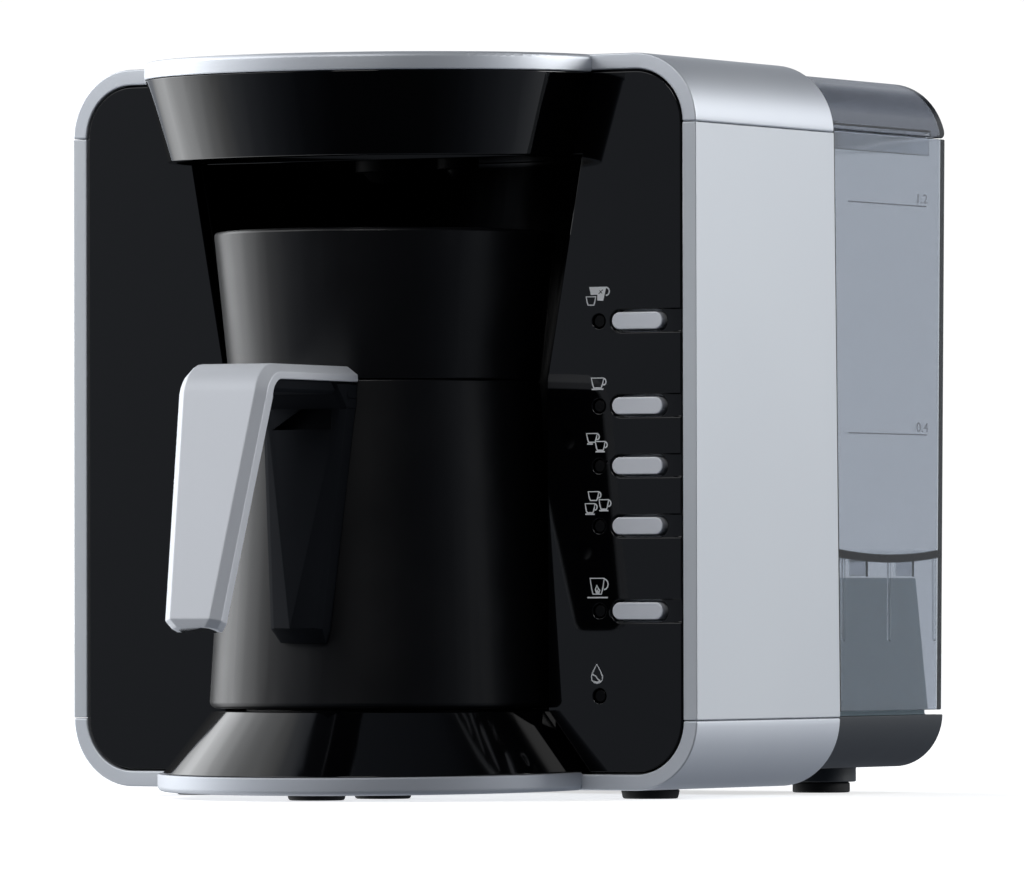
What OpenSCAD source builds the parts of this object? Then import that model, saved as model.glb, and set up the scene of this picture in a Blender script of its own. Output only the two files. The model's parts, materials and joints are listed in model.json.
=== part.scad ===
// Electric Turkish coffee maker: a rounded-square housing with a jug bay in its fascia, a jug that
// pulls out to the front, a water tank that lifts off behind, and five push buttons.
// X runs across the front, Y to the back, Z up. The housing's front plane lies at Y = front_y.

/* [Jug] */
// Height of the jug, base to rim
jug_h = 136.9; // [120:0.1:165]
// Height of the jug's neck above its base
jug_neck_h = 93.8; // [80:0.1:110]
// Outer radius of the jug's rim
jug_rim_r = 49.4; // [46:0.1:60]
// Outer radius of the jug's neck
jug_neck_r = 44.8; // [42:0.1:55]
// Outer radius of the jug's base
jug_base_r = 50.7; // [46:0.1:60]
// Wall of the jug's outer mouldings
jug_wall = 1.8; // [1.2:0.1:2.4]
// Wall of the jug's inner pot
pot_wall = 1.2; // [0.8:0.1:2]
// Turn of the jug on its plate, with the handle a little off straight
jug_turn = 3.4; // [-8:0.1:8]

/* [Handle] */
// Height of the handle's top above the jug's neck
handle_rise = 3.6; // [2:0.1:8]
// Reach of the handle's upper outer corner from the jug's axis
handle_reach = 97.5; // [88:0.1:120]
// Lean of the grip away from the jug, in degrees
grip_lean = 15.4; // [5:0.1:25]
// Height of the grip's lower end above the jug's base
grip_low = 23.8; // [10:0.1:50]
// Radius of the bend between arm and grip
handle_bend_r = 11; // [10.5:0.1:16]
// Width of the handle at the arm
handle_w = 28; // [22:0.1:32]
// Width of the handle at the grip's lower end
grip_end_w = 17.6; // [14:0.1:22]
// Depth of the bright skin at the top of the grip
skin_depth = 6.2; // [5:0.1:8]
// Depth of the bright skin at the grip's lower end
skin_end_depth = 5.8; // [4:0.1:7]
// Depth of the bright skin along the arm
skin_arm_depth = 4.4; // [4:0.1:6]
// Thickness of the bright skin
skin_t = 1.2; // [0.8:0.1:2]

/* [Bay] */
// Sideways offset of the bay and the jug's axis
bay_x = 1.8; // [0:0.1:6]
// Clearance round the jug's base at the foot of the bay
bay_foot_gap = 3.5; // [2:0.1:8]
// Clearance round the jug's neck at the waist of the bay
bay_waist_gap = 9.2; // [4:0.1:14]
// Clearance round the jug's rim at the top of the bay
bay_top_gap = 16.3; // [10:0.1:22]
// Clear height between the jug's rim and the canopy
head_gap = 20.8; // [15:0.1:40]
// Wall of the liner behind the jug
liner_t = 2; // [1.5:0.1:3]

/* [Canopy and plinth] */
// Height of the canopy above the bay
canopy_h = 29; // [24:0.1:40]
// Overhang of the canopy's lower edge beyond the jug's rim
canopy_over = 13.3; // [10:0.1:15]
// Flare of the canopy from its lower edge to its top
canopy_flare = 6.6; // [2:0.1:10]
// Fall of the canopy and of the plinth's trim towards the front, in degrees
front_fall = 0.9; // [0:0.1:1.2]
// Height of the bright trims of canopy and plinth
trim_h = 5.1; // [4:0.1:7]
// Height of the plinth, with its trim
plinth_h = 22.6; // [18:0.1:30]
// Setback of the plinth's top edge under the jug's base
plinth_back = 0.8; // [0:0.1:3]
// Flare of the plinth from its top edge to its trim
plinth_flare = 13.8; // [8:0.1:16]
// Step from the plinth's black cone out to its bright trim
trim_step = 2; // [0.5:0.1:4]
// Height of the heater plate above the plinth
heater_proud = 0.7; // [0.5:0.1:3]
// Radius of the heater plate
heater_r = 40; // [34:0.5:42]

/* [Housing] */
// Land between the bay's top corner and the side of the housing
land_w = 37.5; // [32:0.1:50]
// Radius of the housing's four long edges
corner_r = 20; // [16:1:24]
// Wall of the shells and side panels
wall = 2.5; // [2:0.1:3]
// Space behind the bay liner for hoses, up to the shell's rear edge
service_gap = 14.3; // [13:0.1:30]
// How much deeper the housing is at its lower seam than at its upper seam
rear_lean = 3; // [0:0.5:5]
// Width of the bright rim round the fascia
rim_w = 4.6; // [3.5:0.1:7]
// Depth of the rim, front to back
rim_t = 3; // [2:0.1:4]
// Setback of the fascia behind the rim
fascia_set = 0.3; // [0:0.1:1]
// Groove between the rim and the fascia
rim_groove = 0.6; // [0.2:0.1:0.9]
// Thickness of the fascia's hidden flange
flange_t = 2; // [1.5:0.1:3]
// Height of the feet
foot_h = 2.7; // [1.5:0.1:5]
// Radius of a foot
foot_r = 8.5; // [6:0.1:12]

/* [Buttons] */
// Width of a button
button_w = 16.6; // [12:0.1:18]
// Height of a button
button_h = 5; // [4:0.1:7]
// Distance from the button's centre to the side of the housing
button_side = 19.2; // [17:0.1:24]
// Distance from button centre to lamp centre
lamp_shift = 12.9; // [11:0.1:16]
// Pitch of the three middle buttons
button_pitch = 17.1; // [14:0.1:20]
// Step from the middle buttons to the outer ones and on to the lowest lamp
button_step = 24.2; // [18:0.1:30]
// Height of the middle button above the jug plate
button_mid = 69.1; // [60:0.1:90]
// Travel of a button
button_travel = 1.2; // [0.6:0.1:2]
// Gap between a button and its slot
button_gap = 0.8; // [0.4:0.1:0.9]
// Radius of a lamp hole
lamp_r = 2.1; // [1.5:0.1:3]

/* [Tank] */
// Depth of the water tank at its top
tank_depth = 70.8; // [55:0.1:90]
// Inset of the tank's sides from the housing's sides
tank_inset = 1; // [0:0.1:3]
// Wall of the tank and its lid
tank_wall = 2; // [1.5:0.1:3]
// Draft of the tank's front and rear walls, top to bottom
tank_draft = 3.2; // [0:0.1:5]
// Height of the pump tower under the tank
tower_h = 40.3; // [36:0.1:60]
// Space between the pump tower and the tank's floor
tower_gap = 6.7; // [4:0.1:12]
// Sag of the tank's floor at the middle
floor_sag = 2; // [0.5:0.1:4]
// Drop of the lid's top below the housing's top
lid_drop = 2.3; // [0:0.1:5]
// Height of the gap between rear base and tank
tank_lift = 1.4; // [0.3:0.1:3]
// Lift of the rear base's underside above the housing's underside
base_lift = 4.8; // [2:0.1:8]

/* [Hidden] */
$fn = 96;

// Clearances
gap = 0.2; // between pieces that are pushed or clipped together
face_gap = 0.1; // between flat faces that seat on each other
run_gap = 0.05; // radial, between a pin or stem and its bore
slide_gap = 0.5; // round a piece that lifts or slides out

// Jug and bay
bay_foot_r = jug_base_r + bay_foot_gap;
bay_waist_r = jug_neck_r + bay_waist_gap;
bay_top_r = jug_rim_r + bay_top_gap;
canopy_low_r = jug_rim_r + canopy_over;
canopy_top_r = canopy_low_r + canopy_flare;
plinth_top_r = jug_base_r - plinth_back;
plinth_low_r = plinth_top_r + plinth_flare;
trim_r = plinth_low_r + trim_step;

// Housing
body_w = 2 * (bay_x + bay_top_r + land_w);
half_w = body_w / 2;
body_h = plinth_h + heater_proud + jug_h + head_gap + canopy_h;
top_z = foot_h + body_h;
seam_low = foot_h + corner_r;
seam_high = top_z - corner_r;
depth_top = bay_top_r + liner_t + service_gap;
depth_bottom = depth_top + rear_lean;
lean = atan(rear_lean / (seam_high - seam_low));
far = 2 * body_w;

// Heights in the bay
plinth_z = foot_h + plinth_h;
plate_z = plinth_z + heater_proud;
waist_z = plate_z + jug_neck_h;
canopy_z = top_z - canopy_h;
top_reveal = 0.4; // the bay's opening ends this much above the canopy's lower edge
bay_top_z = canopy_z + top_reveal;
ceiling_z = canopy_z + 2;
flare_slope = plinth_flare / (plinth_h - trim_h);
flare_low_r = bay_foot_r + flare_slope * plinth_h;
fascia_back = rim_t + face_gap + flange_t;
moulding_t = 2.5; // wall of the canopy, the plinth and their trims
trim_round = 1.6; // rounding of the trims' outer edge
cone_set = 0.4; // setback of the canopy's cone under its trim

// Buttons
button_x = half_w - button_side;
lamp_x = button_x - lamp_shift;
mid_z = plate_z + button_mid;
button_z = [mid_z + button_pitch + button_step, mid_z + button_pitch, mid_z, mid_z - button_pitch,
    mid_z - button_pitch - button_step];
lamp_z = concat(button_z, [mid_z - button_pitch - 2 * button_step]);
button_proud = 0.8;
lip_t = 1.2; // flange that keeps a button in its slot
stem_l = 2.7;
switch_h = 4.3;
board_t = 1.6;
board_y = fascia_back + gap + lip_t + stem_l + button_travel + face_gap + switch_h;
board_w = 31;
board_x = button_x - 2.8;

// Rear wall, base and tank
bulk_y = depth_top - 5.5;
bulk_t = 2.5;
base_front = depth_bottom + 0.7;
base_top = seam_low + 0.3;
base_low = foot_h + base_lift;
base_r = 16;
tank_half = half_w - tank_inset;
tank_z = base_top + tank_lift;
lid_z = seam_high + 1;
lid_seat = 0.3; // gap between the tank's rim and the lid
tank_top = lid_z - lid_seat;
tank_front_top = depth_top + 0.8;
tank_front_low = tank_front_top + tank_draft;
tank_rear_top = tank_front_top + tank_depth;
tank_rear_low = tank_rear_top - tank_draft;
tank_mid_y = (tank_front_top + tank_rear_top) / 2;
tank_corner_r = 1.6;
tower_top = base_top + tower_h;
tower_front = tank_front_low + tank_wall + 1;
tower_half = tank_half - tank_wall - 1;
tower_rear_top = tank_rear_top - 16.7;
tower_rear_low = tank_rear_low - 5.6;
floor_z = tower_top + tower_gap;
floor_t = 2;
floor_span = tank_depth / 2;
floor_r = (floor_span * floor_span + floor_sag * floor_sag) / (2 * floor_sag);
lid_top = top_z - lid_drop;
lid_r = corner_r - tank_inset;
hinge_r = 2.6;
hinge_y = tank_rear_top - hinge_r;
hinge_z = lid_z + hinge_r;
hinge_x = 60;
pin_r = 1.25;
rear_boss_x = 74;
rear_boss_y = tank_rear_low - 20.4;

// Outlet under the tank
valve_x = 62;
valve_y = tank_mid_y - 8;
spigot_r = 8;
spigot_bore = 5;
spigot_z = tower_top - 6;
socket_r = spigot_r + 1.6;
stem_r = 2;
valve_lift = 3;

// Handle's outer line, in heights above the jug's base
handle_top = jug_neck_h + handle_rise - face_gap;
arm_start = jug_neck_r - 4;
bend_turn = 90 - grip_lean;
bend_len = handle_bend_r * tan(bend_turn / 2);
arm_end = handle_reach - bend_len;
grip_dir = [sin(grip_lean), -cos(grip_lean)];
grip_start = [handle_reach, handle_top] + bend_len * grip_dir;
grip_len = (grip_start[1] - grip_low) / cos(grip_lean);
tip_share = 0.97; // the grip narrows to its rounded tip from here
bevel_w = 2.7;
bevel_d = 2.35;
core_gap = 0.2;
core_depth = 8; // depth of the handle's core at the arm

// Furthest points, which place the origin at the middle of the whole
tip_reach = grip_start[0] + tip_share * grip_len * grip_dir[0];
tip_w = handle_w + (grip_end_w - handle_w) * tip_share;
front_reach = tip_reach * cos(jug_turn) + (tip_w / 2 - bevel_w) * sin(abs(jug_turn));
lip_out = 1.2;
rear_reach = tank_rear_top + lip_out;
front_y = (front_reach - rear_reach) / 2;

// ---- helpers ----

module in_frame() {
    translate([0, front_y, 0]) children();
}

module on_axis() {
    in_frame() translate([bay_x, 0, 0]) children();
}

// Extrudes an outline drawn in X and Z from y0 back to y1
module along_y(y0, y1) {
    translate([0, y1, 0]) rotate([90, 0, 0]) linear_extrude(y1 - y0) children();
}

// Extrudes an outline drawn in Y and Z from x0 across to x1
module along_x(x0, x1) {
    translate([x0, 0, 0]) rotate([90, 0, 90]) linear_extrude(x1 - x0) children();
}

module rounded_rect(w, h, r) {
    translate([r - w / 2, 0]) square([w - 2 * r, h]);
    translate([-w / 2, r]) square([w, h - 2 * r]);
    for (side = [-1, 1], y = [r, h - r]) translate([side * (w / 2 - r), y]) circle(r);
}

module pill(w, h) {
    translate([(h - w) / 2, -h / 2]) square([w - h, h]);
    for (side = [-1, 1]) translate([side * (w - h) / 2, 0]) circle(h / 2);
}

// The housing's cross-section, moved in by an inset
module section(inset) {
    translate([0, foot_h + inset])
        rounded_rect(body_w - 2 * inset, body_h - 2 * inset, corner_r - inset);
}

module band(z0, z1) {
    translate([-far, z0]) square([2 * far, z1 - z0]);
}

module behind_rear_edge() {
    translate([0, depth_bottom, seam_low]) rotate([lean, 0, 0])
        translate([-far, 0, -far]) cube([2 * far, far, 2 * far]);
}

module pipe_x(x0, x1, r) {
    translate([x0, 0, 0]) rotate([0, 90, 0]) cylinder(h = x1 - x0, r = r);
}

module pipe_y(y0, y1, r) {
    translate([0, y1, 0]) rotate([90, 0, 0]) cylinder(h = y1 - y0, r = r);
}

// A quarter bend of a hose, from +X round to +Y, with its centre at the origin
module elbow(bend_r, r) {
    rotate_extrude(angle = 90) translate([bend_r, 0]) circle(r);
}

// Joins a list of equal cross-sections, each a list of 3-D points, into one closed solid
module loft(rings) {
    n = len(rings[0]);
    last = len(rings) - 1;
    sides = [for (i = [0 : last - 1], j = [0 : n - 1])
        [i * n + j, i * n + (j + 1) % n, (i + 1) * n + (j + 1) % n, (i + 1) * n + j]];
    polyhedron([for (ring = rings) each ring],
        concat([[for (j = [0 : n - 1]) n - 1 - j]], sides, [[for (j = [0 : n - 1]) last * n + j]]));
}

// ---- housing shells ----

lap_h = 6;
lap_t = 1.5;
lap_y0 = 12;
boss_r = 4;
boss_l = 14;
boss_seat = 1; // how far a screw boss runs into the shell's corner
boss_out = (corner_r - wall - boss_r + boss_seat) / sqrt(2);
screw_r = 1.45;
screw_head_t = 1.4;

// A slice of the housing's skin with its rim, between two heights
module skin_slice(z0, z1) {
    difference() {
        union() {
            along_y(0, depth_bottom + 1) intersection() {
                difference() {
                    section(0);
                    section(wall);
                }
                band(z0, z1);
            }
            along_y(0, rim_t) intersection() {
                difference() {
                    section(0);
                    section(rim_w);
                }
                band(z0, z1);
            }
        }
        behind_rear_edge();
    }
}

// Tongue that laps behind the side panel, on the side of the seam that dir points away from
module lap_tongue(side, seam, dir) {
    root = 2.5;
    x_out = half_w - wall - gap;
    along_y(lap_y0, bulk_y - 8) {
        translate([side > 0 ? x_out - lap_t : -x_out, dir > 0 ? seam - lap_h : seam])
            square([lap_t, lap_h]);
        translate([side > 0 ? x_out - lap_t : -x_out - 0.8, dir > 0 ? seam + gap : seam - gap - root])
            square([lap_t + 0.8, root]);
        translate([side > 0 ? x_out - lap_t : -x_out, dir > 0 ? seam - 0.5 : seam - gap - 0.5])
            square([lap_t, gap + 1]);
    }
}

module corner_boss(side, dir) {
    corner_z = dir > 0 ? seam_high + boss_out : seam_low - boss_out;
    translate([side * (half_w - corner_r + boss_out), 0, corner_z]) children();
}

module end_shell(dir) {
    difference() {
        union() {
            if (dir > 0) skin_slice(seam_high + gap / 2, top_z);
            else skin_slice(foot_h, seam_low - gap / 2);
            for (side = [-1, 1]) {
                lap_tongue(side, dir > 0 ? seam_high : seam_low, dir);
                corner_boss(side, dir) pipe_y(bulk_y - face_gap - boss_l, bulk_y - face_gap, boss_r);
            }
        }
        for (side = [-1, 1])
            corner_boss(side, dir) pipe_y(bulk_y - boss_l + 2, bulk_y, screw_r);
    }
}

module top_shell() {
    color("lightsteelblue") in_frame() end_shell(1);
}

module bottom_shell() {
    color("lightsteelblue") in_frame() end_shell(-1);
}

module side_slice() {
    intersection() {
        skin_slice(seam_low + gap / 2, seam_high - gap / 2);
        translate([0, -far, 0]) cube([far, 3 * far, far]);
    }
}

module right_side_panel() {
    color("gainsboro") in_frame() side_slice();
}

power_posts = [[20, 48], [62, 48], [20, 142], [62, 142]];
power_x = half_w - wall - 9;

module left_side_panel() {
    color("gainsboro") in_frame() mirror([1, 0, 0]) {
        side_slice();
        for (p = power_posts) translate([0, p[0], foot_h + p[1]])
            difference() {
                pipe_x(power_x + face_gap, half_w - wall / 2, 3);
                pipe_x(power_x, half_w - wall - 2, screw_r);
            }
    }
}

// ---- fascia ----

// Half of the bay's opening, from the axis out to +X
module bay_half(extra) {
    polygon([[0, bay_top_z + extra], [bay_top_r + extra, bay_top_z + extra],
        [bay_waist_r + extra, waist_z], [bay_foot_r + extra, plinth_z],
        [flare_low_r + extra, foot_h], [0, foot_h]]);
}

module bay_outline(extra) {
    translate([bay_x, 0]) {
        bay_half(extra);
        mirror([1, 0]) bay_half(extra);
    }
}

slot_w = button_w + 2 * button_gap;
slot_h = button_h + 2 * button_gap;
channel_d = 0.6;
board_post_x = board_w / 2 - 3;
board_low = lamp_z[5] - 8;
board_high = lamp_z[0] + 11;

module fascia_holes() {
    for (z = button_z) translate([button_x, z]) pill(slot_w, slot_h);
    for (z = lamp_z) translate([lamp_x, z]) circle(lamp_r);
}

module at_board_corners() {
    for (side = [-1, 1], z = [board_low + 3, board_high - 3])
        translate([board_x + side * board_post_x, 0, z]) children();
}

module front_panel() {
    color([0.09, 0.1, 0.11]) in_frame() difference() {
        union() {
            along_y(fascia_set, rim_t + face_gap) difference() {
                section(rim_w + rim_groove);
                bay_outline(0);
                fascia_holes();
            }
            along_y(rim_t + face_gap, fascia_back) difference() {
                section(wall + gap);
                bay_outline(0);
                fascia_holes();
            }
            at_board_corners() pipe_y(fascia_back - 1, board_y - face_gap, 2.6);
        }
        along_y(fascia_set - 1, fascia_set + channel_d)
            for (z = button_z) translate([button_x, z - slot_h / 2]) square([button_side, slot_h]);
        at_board_corners() pipe_y(fascia_back + 1, board_y, 1);
    }
}

// ---- bay, canopy and plinth ----

spout_x = -9;
spout_y = 18;
sensor_x = 14;
hose_r = 3;
flange_w = 6;
liner_front = fascia_back + face_gap;

module bay_liner() {
    color([0.06, 0.06, 0.07]) on_axis() difference() {
        union() {
            intersection() {
                rotate_extrude() polygon([[0, ceiling_z], [bay_top_r, ceiling_z], [bay_top_r, bay_top_z],
                    [bay_waist_r, waist_z], [bay_foot_r, plinth_z], [plinth_top_r + gap, plinth_z],
                    [plinth_top_r + gap, plinth_z - liner_t], [bay_foot_r + liner_t, plinth_z - liner_t],
                    [bay_waist_r + liner_t, waist_z], [bay_top_r + liner_t, bay_top_z],
                    [bay_top_r + liner_t, ceiling_z + moulding_t], [0, ceiling_z + moulding_t]]);
                translate([-far, liner_front, 0]) cube([2 * far, far, far]);
            }
            along_y(liner_front, liner_front + liner_t) translate([-bay_x, 0]) difference() {
                intersection() {
                    bay_outline(flange_w);
                    section(wall + gap);
                }
                bay_outline(0);
            }
            along_y(liner_front, liner_front + liner_t) difference() {
                translate([-bay_waist_r, 0]) square([2 * bay_waist_r, plinth_z - liner_t]);
                translate([-bay_waist_r, 0]) square([2 * bay_waist_r, foot_h + wall + gap]);
            }
        }
        translate([0, 0, -1]) cylinder(h = plinth_z + 1, r = plinth_top_r + gap);
        translate([spout_x, spout_y, ceiling_z - 1]) cylinder(h = 5, r = hose_r + 2.5 + run_gap);
        translate([sensor_x, spout_y, ceiling_z - 1]) cylinder(h = 5, r = 3 + run_gap);
    }
}

// Tips a piece a little down to the front, about the line where the housing's front plane meets z
module falling(z) {
    translate([0, 0, z]) rotate([front_fall, 0, 0]) translate([0, 0, -z]) children();
}

module in_front_of(y) {
    intersection() {
        children();
        translate([-far, y - far, -far]) cube([2 * far, far, 3 * far]);
    }
}

module canopy_shield() {
    z_top = top_z - trim_h - face_gap;
    r_top = canopy_top_r - cone_set;
    color([0.09, 0.1, 0.11]) on_axis() in_front_of(fascia_set - face_gap) falling(top_z)
        rotate_extrude() polygon([[0, ceiling_z], [canopy_low_r - moulding_t, ceiling_z],
            [canopy_low_r - moulding_t, canopy_z], [canopy_low_r, canopy_z], [r_top, z_top],
            [r_top - moulding_t, z_top], [canopy_low_r - moulding_t, ceiling_z + moulding_t],
            [0, ceiling_z + moulding_t]]);
}

// A half-round cover, drawn with its plate on top, whose edge is turned down and rounded
module half_trim(r) {
    rotate_extrude() difference() {
        union() {
            square([r - trim_round, trim_h]);
            square([r, trim_h - trim_round]);
            translate([r - trim_round, trim_h - trim_round]) circle(trim_round);
        }
        square([r - moulding_t, trim_h - moulding_t]);
    }
}

module canopy_trim() {
    color("silver") on_axis() in_front_of(-face_gap) falling(top_z)
        translate([0, 0, top_z - trim_h]) half_trim(canopy_top_r);
}

module plinth_shield() {
    z_low = foot_h + trim_h + face_gap;
    extra = trim_h / 2;
    r_low = plinth_low_r + flare_slope * extra;
    color([0.09, 0.1, 0.11]) on_axis() difference() {
        union() {
            difference() {
                in_front_of(fascia_back) rotate_extrude() polygon([[0, plinth_z], [plinth_top_r, plinth_z],
                    [r_low, z_low - extra], [r_low - moulding_t, z_low - extra],
                    [plinth_top_r - moulding_t, plinth_z - moulding_t], [0, plinth_z - moulding_t]]);
                translate([0, 0, z_low]) rotate([front_fall, 0, 0]) translate([-far, -far, -far])
                    cube([2 * far, 2 * far, far]);
            }
            intersection() {
                rotate_extrude() polygon([[0, plinth_z], [plinth_top_r, plinth_z], [plinth_top_r, z_low],
                    [plinth_top_r - moulding_t, z_low],
                    [plinth_top_r - moulding_t, plinth_z - moulding_t], [0, plinth_z - moulding_t]]);
                translate([-far, fascia_back - 0.5, 0]) cube([2 * far, far, far]);
            }
        }
        translate([0, 0, foot_h]) cylinder(h = plinth_h + 1, r = heater_r + gap);
    }
}

module plinth_trim() {
    color("silver") on_axis() in_front_of(-face_gap) falling(foot_h + trim_h)
        translate([0, 0, foot_h + trim_h]) mirror([0, 0, 1]) half_trim(trim_r);
}

plate_flange_r = heater_r + 3;
plate_flange_z = plinth_z - moulding_t - face_gap;

module heater_plate() {
    color("dimgray") on_axis() difference() {
        union() {
            translate([0, 0, plate_flange_z - 2]) cylinder(h = 2, r = plate_flange_r);
            translate([0, 0, plate_flange_z - 2]) cylinder(h = plate_z - plate_flange_z + 2, r = heater_r);
        }
        translate([0, 0, foot_h]) cylinder(h = body_h, r = sensor_r + gap);
    }
}

element_r = 27;
element_tube = 3.2;
element_z = plate_flange_z - 2 - face_gap - element_tube;

module heating_element() {
    color("slategray") on_axis() translate([0, 0, element_z]) {
        rotate([0, 0, 110]) rotate_extrude(angle = 320) translate([element_r, 0]) circle(element_tube);
        for (turn = [110, 70]) rotate([0, 0, turn]) translate([element_r, 0, -5])
            cylinder(h = 6, r = 1.6);
    }
}

sensor_r = 4;

module temperature_sensor() {
    color("silver") on_axis() translate([0, 0, plate_flange_z - 9]) {
        cylinder(h = plate_z - plate_flange_z + 9 - gap, r = sensor_r);
        cylinder(h = 7 - face_gap, r = sensor_r + 3);
    }
}

// ---- water path ----

spout_low = canopy_z - 5.5;
riser_x = -44;
riser_y = bulk_y - 7;
hose_bend = 8;
hose_top = ceiling_z + moulding_t + 9;
pump_r = 13;
pump_l = 52;
pump_y = valve_y;
pump_z = base_low + moulding_t + pump_r + 2;
outlet_drop = 10; // from the pump's axis down to its outlet

module water_spout() {
    color([0.1, 0.1, 0.1]) on_axis() translate([spout_x, spout_y, 0]) difference() {
        union() {
            translate([0, 0, spout_low + 3]) cylinder(h = ceiling_z - spout_low - 3, r = 10);
            translate([0, 0, spout_low]) cylinder(h = 3, r1 = 5, r2 = 8);
            translate([0, 0, ceiling_z - 1]) cylinder(h = moulding_t + 3, r = hose_r + 2.5);
        }
        translate([0, 0, spout_low - 1]) cylinder(h = 30, r = 1.8);
        translate([0, 0, ceiling_z + moulding_t - 1]) cylinder(h = 10, r = hose_r + gap);
    }
}

module foam_sensor() {
    color("dimgray") on_axis() translate([sensor_x, spout_y, 0]) {
        translate([0, 0, canopy_z - 2]) cylinder(h = ceiling_z - canopy_z + 2 - face_gap, r = 6);
        translate([0, 0, canopy_z - 2]) cylinder(h = 12, r = 3);
        translate([0, 0, canopy_z - 2]) sphere(r = 3);
    }
}

module delivery_hose() {
    run_z = pump_z - outlet_drop;
    nipple = pump_r + 2;
    spout_run = bay_x + spout_x - riser_x - hose_bend;
    color("whitesmoke") in_frame() translate([riser_x, riser_y, 0]) {
        translate([0, 0, run_z]) pipe_y(hose_bend, pump_y - riser_y - nipple, hose_r);
        translate([0, hose_bend, run_z + hose_bend]) rotate([0, -90, 0]) rotate([0, 0, 180])
            elbow(hose_bend, hose_r);
        translate([0, 0, run_z + hose_bend]) cylinder(h = hose_top - run_z - 2 * hose_bend, r = hose_r);
        translate([0, -hose_bend, hose_top - hose_bend]) rotate([0, -90, 0]) elbow(hose_bend, hose_r);
        translate([0, 0, hose_top]) pipe_y(spout_y - riser_y + hose_bend, -hose_bend, hose_r);
        translate([hose_bend, spout_y - riser_y + hose_bend, hose_top]) rotate([0, 0, 180])
            elbow(hose_bend, hose_r);
        translate([0, spout_y - riser_y, hose_top]) pipe_x(hose_bend, spout_run, hose_r);
        translate([spout_run, spout_y - riser_y, hose_top - hose_bend]) rotate([90, 0, 0])
            elbow(hose_bend, hose_r);
        translate([spout_run + hose_bend, spout_y - riser_y, ceiling_z + moulding_t])
            cylinder(h = hose_top - hose_bend - ceiling_z - moulding_t, r = hose_r);
    }
}

module water_pump() {
    floor_top = base_low + moulding_t;
    color("saddlebrown") in_frame() translate([riser_x, pump_y, pump_z]) {
        pipe_x(-12, pump_l - 12, pump_r);
        pipe_x(-15, -12 + gap, 8);
        pipe_x(pump_l - 12 - gap, pump_l - 4, 6);
        translate([0, 0, -outlet_drop]) pipe_y(face_gap - pump_r - 2, 0, hose_r + 1.2);
        for (x = [-8, pump_l - 24]) translate([x, -8, floor_top + face_gap - pump_z])
            cube([8, 16, pump_r - 1]);
    }
}

module suction_hose() {
    x0 = riser_x + pump_l - 4 + face_gap;
    bend = 9;
    hose_end = spigot_z - 2;
    color("whitesmoke") in_frame() translate([0, pump_y, pump_z]) {
        pipe_x(x0, valve_x - bend, hose_r);
        translate([valve_x - bend, 0, bend]) mirror([0, 0, 1]) rotate([90, 0, 0]) elbow(bend, hose_r);
        translate([valve_x, 0, bend]) cylinder(h = hose_end - pump_z - bend, r = hose_r);
    }
}

// ---- rear wall and base ----

module rear_bulkhead() {
    color([0.2, 0.21, 0.22]) in_frame() difference() {
        along_y(bulk_y, bulk_y + bulk_t) difference() {
            section(wall + gap);
            for (side = [-1, 1], z = [seam_low - boss_out, seam_high + boss_out])
                translate([side * (half_w - corner_r + boss_out), z]) circle(screw_r + gap);
            translate([riser_x, pump_z - outlet_drop]) circle(hose_r + gap);
            translate([20, base_low + 4]) rounded_rect(40, 8, 3);
        }
    }
}

// Outline of the pump tower in Y and Z
module tower_side(inset) {
    polygon([[tower_front + inset, base_top - 8], [tower_front + inset, tower_top - inset],
        [tower_rear_top - inset, tower_top - inset], [tower_rear_low - inset, base_top],
        [tower_rear_low - inset, base_top - 8]]);
}

module base_section(inset, top) {
    w = 2 * (tank_half - inset);
    r = base_r - inset;
    intersection() {
        translate([0, base_low + inset]) rounded_rect(w, 4 * base_r, r);
        band(0, top);
    }
}

module rear_boss(r, z0, z1) {
    for (side = [-1, 1]) translate([side * rear_boss_x, rear_boss_y, z0]) cylinder(h = z1 - z0, r = r);
}

module base_hollow() {
    neck_y = bulk_y + bulk_t;
    roof = base_top - moulding_t;
    along_y(neck_y, tank_rear_low - moulding_t) intersection() {
        base_section(moulding_t, roof);
        section(wall + gap + moulding_t);
    }
    along_x(-tower_half + moulding_t, tower_half - moulding_t) tower_side(moulding_t);
}

module rear_base() {
    neck_y = bulk_y + bulk_t + 2 * screw_head_t;
    color([0.24, 0.25, 0.26]) in_frame() difference() {
        union() {
            difference() {
                union() {
                    along_y(base_front, tank_rear_low) base_section(0, base_top);
                    along_x(-tower_half, tower_half) tower_side(0);
                    along_y(neck_y, base_front + 1) intersection() {
                        section(wall + gap);
                        band(base_low, base_top - 0.5);
                    }
                    rear_boss(foot_r + 1.8, foot_h + 0.5, base_low + 2);
                }
                base_hollow();
            }
            translate([valve_x, valve_y, spigot_z - 3])
                cylinder(h = tower_top - spigot_z + 2, r = socket_r + 2);
            translate([valve_x, valve_y, spigot_z - 9]) cylinder(h = 8, r = hose_r + 2);
        }
        translate([valve_x, valve_y, spigot_z - 1]) cylinder(h = 20, r = socket_r);
        translate([valve_x, valve_y, spigot_z - 10]) cylinder(h = 20, r = hose_r + gap);
        translate([gland_x, 0, gland_z]) pipe_y(tank_rear_low - 10, tank_rear_low + 1, gland_r + run_gap);
    }
}

gland_r = 4.2;
gland_x = -78;
gland_z = (base_low + base_top) / 2;

module cord_gland() {
    face = tank_rear_low;
    inside = tank_rear_low - moulding_t;
    color([0.05, 0.05, 0.05]) in_frame() translate([gland_x, 0, gland_z]) difference() {
        union() {
            pipe_y(inside - 6, face + 0.5, gland_r);
            pipe_y(face + face_gap, face + 1.1, gland_r + 1.4);
            pipe_y(inside - 6, inside - face_gap, gland_r + 0.8);
        }
        pipe_y(inside - 10, face + 5, gland_r - 1.1);
    }
}

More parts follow.
